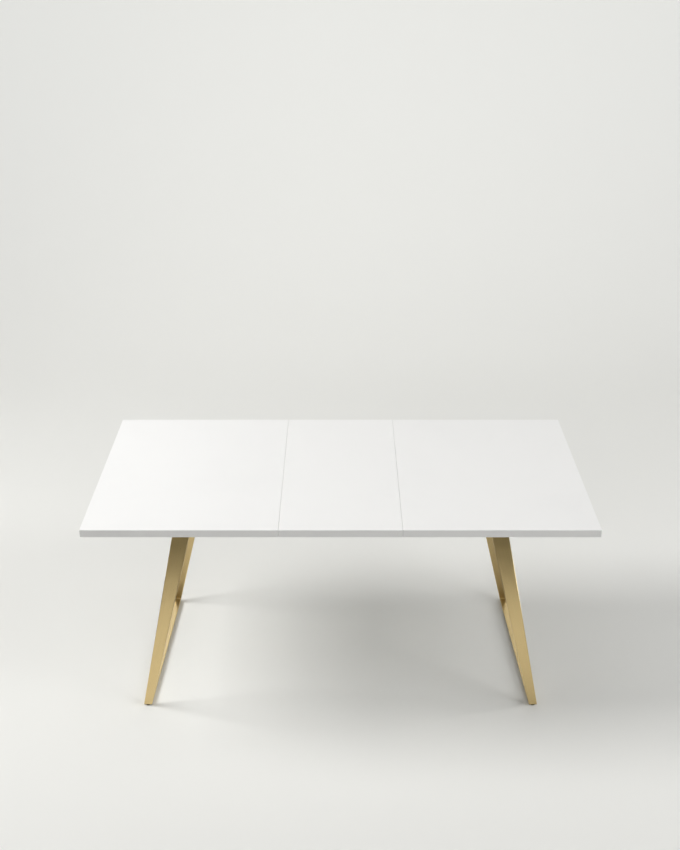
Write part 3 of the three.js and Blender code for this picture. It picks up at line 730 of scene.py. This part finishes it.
def turned(name, profile, centre, slot, body, down=False, segments=SEGMENTS, hexagon_rows=0):
    """A profile of (radius, height) rows turned about a vertical axis at centre. The last hexagon_rows rows
    follow a hexagon instead of a circle. With down, heights run downwards from the centre."""
    profile = np.array(profile)
    angle = np.linspace(0.0, 2 * math.pi, segments, endpoint=False)
    radius = np.repeat(profile[:, :1], segments, axis=1)
    if hexagon_rows:
        radius[-hexagon_rows:] *= hexagon(angle)
    height = np.repeat(profile[:, 1:2], segments, axis=1) * (-1.0 if down else 1.0)
    points = np.stack([
        centre[0] + radius * np.cos(angle),
        centre[1] + radius * np.sin(angle),
        centre[2] + height,
    ], axis=-1)
    faces = capped(*points.shape[:2])
    if down:
        faces = [face[::-1] for face in faces]
    piece = mesh_piece(name, points, faces, slot, body)
    sharpen(piece)
    return piece


def sharpen(piece):
    """Flat faces stay flat and only gentle turns are smoothed."""
    piece.data.set_sharp_from_angle(angle=SHARP_ANGLE)


BODY_OF = {
    node: body
    for body, nodes in frame["record"]["behaviour"]["bodies"].items()
    for node in nodes
}
SLOT_OF = {subpart["node"]: subpart["material_slot"] for subpart in frame["record"]["subparts"]}


EASE_WIDTH = 0.5 * MM
EASE_SEGMENTS = 2
EASE_ANGLE = math.radians(32)
MERGE_DISTANCE = 1e-6
FLAT_ANGLE = math.radians(1)


def eased_copy(node):
    """A CAD solid with its sharp edges eased: its mesh merged, its flat faces joined, and a small bevel."""
    mesh = NODES[node].data.copy()
    mesh.name = f"{node}_eased"
    work = bmesh.new()
    work.from_mesh(mesh)
    bmesh.ops.remove_doubles(work, verts=work.verts, dist=MERGE_DISTANCE)
    bmesh.ops.dissolve_limit(
        work, angle_limit=FLAT_ANGLE, verts=work.verts, edges=work.edges, delimit=set()
    )
    work.to_mesh(mesh)
    work.free()
    mesh.materials.clear()
    mesh.materials.append(LOOKS[SLOT_OF[node]])
    mesh.polygons.foreach_set("use_smooth", np.ones(len(mesh.polygons), bool))
    piece = bpy.data.objects.new(f"{node}_eased", mesh)
    bpy.context.scene.collection.objects.link(piece)
    bevel = piece.modifiers.new("ease", "BEVEL")
    bevel.width = EASE_WIDTH
    bevel.segments = EASE_SEGMENTS
    bevel.limit_method = "ANGLE"
    bevel.angle_limit = EASE_ANGLE
    bevel.harden_normals = True
    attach(piece, BODY_OF[node])
    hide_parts(node)
    return piece


# ---------------------------------------------------------------------------
# Top
# ---------------------------------------------------------------------------

PANEL_EASE = 1.5 * MM
PANEL_CORNER = 2.0 * MM


def top_panels():
    """The three lacquered panels, each with small rounded arrises and corners."""
    for node in ("left_top_panel", "leaf_panel", "right_top_panel"):
        slab = rounded_block(
            f"{node}_lacquered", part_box(node), PANEL_EASE, PANEL_CORNER, "white_lacquer", BODY_OF[node]
        )
        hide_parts(node)


# ---------------------------------------------------------------------------
# Feet, pads and pegs
# ---------------------------------------------------------------------------

HUB_SHARE = 0.3


def round_profile(radius, height, ease, steps=4):
    """A low drum with both rims rounded, from the middle of its base to the middle of its top."""
    arc = np.linspace(0.0, math.pi / 2, steps + 1)
    base = np.stack([radius - ease * (1.0 - np.sin(arc)), ease * (1.0 - np.cos(arc))], axis=-1)
    top = base[::-1] * [1.0, -1.0] + [0.0, height]
    hub = radius * HUB_SHARE
    return np.concatenate([[[hub, 0.0]], base, top, [[hub, height]]])


def middle_of(node):
    """The middle of a CAD node's box."""
    low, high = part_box(node)
    return [(a + b) / 2 for a, b in zip(low, high)]


GLIDE_RIM = 0.9 * MM
SOLE_RISE = 0.06 * MM
SOLE_SHARE = 0.62
STUD_RADIUS = 2.4 * MM
STUD_TIP_RADIUS = 1.8 * MM
STUD_CHAMFER = 0.6 * MM
PAD_RIM = 0.5 * MM
PEG_NOSE = 6 * MM
PEG_CHAMFER = 0.5 * MM


def glides():
    """A glide under each corner of the leg frames: a domed sole, a rounded rim and a stud into the rail."""
    for end in ENDS:
        rail_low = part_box(f"{end}_floor_rail")[0][2]
        for side in SIDES:
            node = f"{end}_{side}_glide"
            low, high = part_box(node)
            x, y, _ = middle_of(node)
            radius = (high[0] - low[0]) / 2
            body = round_profile(radius, rail_low - low[2], GLIDE_RIM)
            sole = np.array([[radius * HUB_SHARE, 0.0], [radius * SOLE_SHARE, SOLE_RISE]])
            profile = np.concatenate([sole, body[1:]])
            stud = np.array([
                [STUD_RADIUS, rail_low], [STUD_RADIUS, high[2] - STUD_CHAMFER], [STUD_TIP_RADIUS, high[2]],
            ])
            profile[-1, 0] = stud[0, 0]
            profile = np.concatenate([profile, stud[1:]])
            piece = turned(f"{node}_turned", profile, (x, y, low[2]), "dark_rubber", BODY_OF[node])
            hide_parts(node)


def leaf_rests():
    """Rubber pads under the leaf and the two turned pegs that centre it, each with a bullet nose."""
    for side in SIDES:
        for end in ENDS:
            node = f"{end}_{side}_leaf_pad"
            low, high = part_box(node)
            x, y, _ = middle_of(node)
            profile = round_profile((high[0] - low[0]) / 2, high[2] - low[2], PAD_RIM)
            piece = turned(f"{node}_turned", profile, (x, y, low[2]), "dark_rubber", BODY_OF[node])
            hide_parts(node)
        node = f"{side}_leaf_peg"
        low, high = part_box(node)
        x, y, _ = middle_of(node)
        radius = (high[0] - low[0]) / 2
        nose = np.linspace(0.0, math.pi / 2, 9)[:-1]
        length = high[2] - low[2]
        tip = np.stack([radius * np.sin(nose), PEG_NOSE * (1.0 - np.cos(nose))], axis=-1)
        side = [[radius, PEG_NOSE], [radius, length - PEG_CHAMFER], [radius - PEG_CHAMFER, length]]
        profile = np.concatenate([tip[1:], side])
        piece = turned(f"{node}_turned", profile, (x, y, low[2]), "zinc_steel", BODY_OF[node])
        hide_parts(node)


# ---------------------------------------------------------------------------
# Pivots and axle
# ---------------------------------------------------------------------------

PIVOT_SHANK = 4 * MM
PIVOT_HEAD_HEIGHT = 3.5 * MM
AXLE_HEAD_HEIGHT = 4.7 * MM
AXLE_COLLAR_HEIGHT = 2.0 * MM
AXLE_COLLAR_SHARE = 1.6
COLLAR_CHAMFER = 0.3 * MM
SHANK_CHAMFER = 0.5 * MM
HEAD_CHAMFER = 0.4 * MM
PIVOT_SOCKET_DEPTH = 2.2 * MM
SCREW_SOCKET_DEPTH = 1.9 * MM


def pivot_profile(radius, head, shank, length):
    """A shoulder screw seen from below, as rows from the top of its shank down to its socketed head."""
    return [
        [shank * 0.5, -length], [shank - HEAD_CHAMFER, -length], [shank, -length + SHANK_CHAMFER],
        [shank, -head], [radius - HEAD_CHAMFER, -head], [radius, -head + HEAD_CHAMFER], [radius, -0.9 * MM],
        [radius - 0.25 * MM, -0.35 * MM], [radius - 0.8 * MM, 0.0], [radius * 0.56, 0.0],
    ] + socket(radius * 0.42, -PIVOT_SOCKET_DEPTH, 0.0)


def pivots():
    """The two shoulder screws that the lock levers turn on, and the pinion's axle with its collar."""
    for end in ENDS:
        node = f"{end}_lock_pivot"
        low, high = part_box(node)
        x, y, _ = middle_of(node)
        profile = pivot_profile((high[0] - low[0]) / 2, PIVOT_HEAD_HEIGHT, PIVOT_SHANK, high[2] - low[2])
        piece = turned(
            f"{node}_turned", profile, (x, y, low[2]), "zinc_steel", BODY_OF[node], down=True, hexagon_rows=2
        )
        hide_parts(node)
    node = "pinion_axle"
    low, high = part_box(node)
    x, y, _ = middle_of(node)
    radius, length = (high[0] - low[0]) / 2, high[2] - low[2]
    profile = pivot_profile(radius, AXLE_HEAD_HEIGHT, PIVOT_SHANK, length)[3:]
    collar = AXLE_COLLAR_SHARE * PIVOT_SHANK
    start, stop = length - AXLE_COLLAR_HEIGHT, length
    top = [
        [collar * 0.4, -stop], [collar - COLLAR_CHAMFER, -stop], [collar, -stop + COLLAR_CHAMFER],
        [collar, -start - COLLAR_CHAMFER], [collar - COLLAR_CHAMFER, -start], [PIVOT_SHANK, -start],
    ]
    piece = turned(
        f"{node}_turned", top + profile, (x, y, low[2]), "zinc_steel", BODY_OF[node],
        down=True, hexagon_rows=2,
    )
    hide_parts(node)


# ---------------------------------------------------------------------------
# Welds
# ---------------------------------------------------------------------------

WELD_RADIUS = 1.7 * MM
WELD_PITCH = 2.4 * MM
WELD_INSET = 3.0 * MM
WELD_SWELL = 0.14
WELD_POINT = 0.02
WELD_STEPS = 240
WELD_SIDES = 16


def weld_beads():
    """A bead along both broad faces of each leg head where it meets its plate: a thin tube along X whose
    radius swells and shrinks with every drop of weld, r (1 + s cos), and closes to a point at each end."""
    for end in ENDS:
        for side in SIDES:
            plate_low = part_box(f"{end}_{side}_leg_plate")[0][2]
            head = corners_of(f"{end}_{side}_leg")
            head = head[head[:, 2] > plate_low - 0.1 * MM]
            start, stop = head[:, 0].min() + WELD_INSET, head[:, 0].max() - WELD_INSET
            for place, y in (("near", head[:, 1].min()), ("far", head[:, 1].max())):
                x = np.linspace(start, stop, WELD_STEPS)
                ends = np.clip(np.minimum(x - start, stop - x) / WELD_RADIUS, WELD_POINT, 1.0)
                swell = 1.0 + WELD_SWELL * np.cos(2 * math.pi * (x - start) / WELD_PITCH)
                radius = (WELD_RADIUS * np.sqrt(ends) * swell)[:, None]
                angle = np.linspace(0.0, 2 * math.pi, WELD_SIDES, endpoint=False)[None, :]
                points = np.stack(np.broadcast_arrays(
                    x[:, None], y + radius * np.cos(angle), plate_low + radius * np.sin(angle)
                ), axis=-1)
                uv = np.stack(np.broadcast_arrays(angle * WELD_RADIUS, x[:, None]), axis=-1)
                mesh_piece(
                    f"{end}_{side}_weld_{place}", points, capped(*points.shape[:2]),
                    "brushed_brass", f"{end}_end", uv=uv,
                )


# ---------------------------------------------------------------------------
# Screws
# ---------------------------------------------------------------------------

SOCKET_CHAMFER = 0.25 * MM
HEAD_FLANGE = 0.5 * MM
SCREW_THREAD = 2.0 * MM


def socket(key, floor, top):
    """The rows of a hexagon socket of half-width key, from a chamfered mouth at top down to its floor."""
    return [[key, top - SOCKET_CHAMFER], [key, floor]]


def flush_screw(name, x, y, face, radius, shank, length, body):
    """A flat-headed socket screw seen from below, flush with the face: its cone goes up into the hole."""
    sink = radius - shank
    profile = [
        [shank * 0.6, -length], [shank, -length + shank * 0.6], [shank, -sink * 1.2], [radius, -0.25 * MM],
        [radius - 0.12 * MM, -0.06 * MM], [radius - 0.4 * MM, 0.0], [radius * 0.58, 0.0],
    ]
    profile += socket(radius * 0.42, -SCREW_SOCKET_DEPTH, 0.0)
    return turned(name, profile, (x, y, face), "zinc_steel", body, down=True, hexagon_rows=2)


def domed_screw(name, x, y, face, radius, height, body):
    """A domed socket screw head that sits on a face seen from below, with a thin flange under its dome."""
    dome = np.linspace(0.0, math.pi / 2, 7)[:-1]
    rise = HEAD_FLANGE + (height - HEAD_FLANGE) * np.sin(dome)
    curve = np.stack([radius * 0.9 * np.cos(dome), rise], axis=-1)
    curve = curve[curve[:, 0] > radius * 0.5]
    profile = [[radius * 0.4, -SCREW_THREAD], [radius * 0.4, 0.0], [radius, 0.0], [radius, 0.35 * MM]]
    profile += curve.tolist()
    top = curve[-1, 1]
    profile += socket(radius * 0.4, HEAD_FLANGE, top)
    return turned(name, profile, (x, y, face), "zinc_steel", body, down=True, hexagon_rows=2, segments=36)


CHANNEL_SCREWS = 5
CHANNEL_SCREW_EDGE = 45 * MM
CHANNEL_SCREW_IN = 9 * MM
FLANGE = 4 * MM
BRACKET_SCREW_EDGE = 8 * MM
BRACKET_SCREW_END = 12 * MM
BRACKET_FREE_SIDE = 40 * MM
TRAY_SCREW_SPACING = 20 * MM
# Head radius and head height of the screws.
LARGE_HEAD = (4.4 * MM, 2.6 * MM)
SMALL_HEAD = (4.2 * MM, 2.4 * MM)


def fixings():
    """Every screw that shows from below: leg plates, slide channels, rack brackets and pinion tray."""
    for end in ENDS:
        for side in SIDES:
            for place in ("inner", "middle", "outer"):
                node = f"{end}_{side}_leg_screw_{place}"
                low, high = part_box(node)
                x, y, _ = middle_of(node)
                radius = (high[0] - low[0]) / 2
                piece = flush_screw(
                    f"{node}_socketed", x, y, low[2], radius, radius / 2, high[2] - low[2], BODY_OF[node]
                )
                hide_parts(node)
            node = f"{end}_{side}_slide_channel"
            low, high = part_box(node)
            y = high[1] - CHANNEL_SCREW_IN if side == "rear" else low[1] + CHANNEL_SCREW_IN
            spots = np.linspace(low[0] + CHANNEL_SCREW_EDGE, high[0] - CHANNEL_SCREW_EDGE, CHANNEL_SCREWS)
            for number, x in enumerate(spots, 1):
                domed_screw(f"{node}_screw_{number}", x, y, high[2] - FLANGE, *LARGE_HEAD, BODY_OF[node])
        node = f"{end}_rack_bracket"
        low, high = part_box(node)
        rear_free = high[1] > BRACKET_FREE_SIDE
        free = high[1] - BRACKET_SCREW_EDGE if rear_free else low[1] + BRACKET_SCREW_EDGE
        for number, x in enumerate((low[0] + BRACKET_SCREW_END, high[0] - BRACKET_SCREW_END), 1):
            domed_screw(f"{node}_screw_{number}", x, free, low[2], *SMALL_HEAD, BODY_OF[node])
        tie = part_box(f"{end}_cross_tie")
        x = (tie[0][0] + tie[1][0]) / 2
        for number, y in enumerate((-TRAY_SCREW_SPACING, TRAY_SCREW_SPACING), 1):
            domed_screw(f"{end}_tray_screw_{number}", x, y, tie[0][2], *LARGE_HEAD, "centre_frame")


# ---------------------------------------------------------------------------
# Build
# ---------------------------------------------------------------------------

EASED_NODES = (
    ["front_centre_beam", "rear_centre_beam", "pinion_tray"]
    + [f"{end}_{part}" for end in ENDS for part in ("cross_tie", "lock_lever", "rack_bracket", "travel_stop")]
    + [f"{end}_{side}_{part}" for end in ENDS for side in SIDES
       for part in ("leg_plate", "slide_channel", "slide_liner")]
)

make_camera()
make_stage()
make_flag()
make_light()
dress_cad_nodes()
for end in ENDS:
    leg_frame(end)
top_panels()
glides()
leaf_rests()
pivots()
weld_beads()
fixings()
for node in EASED_NODES:
    eased_copy(node)
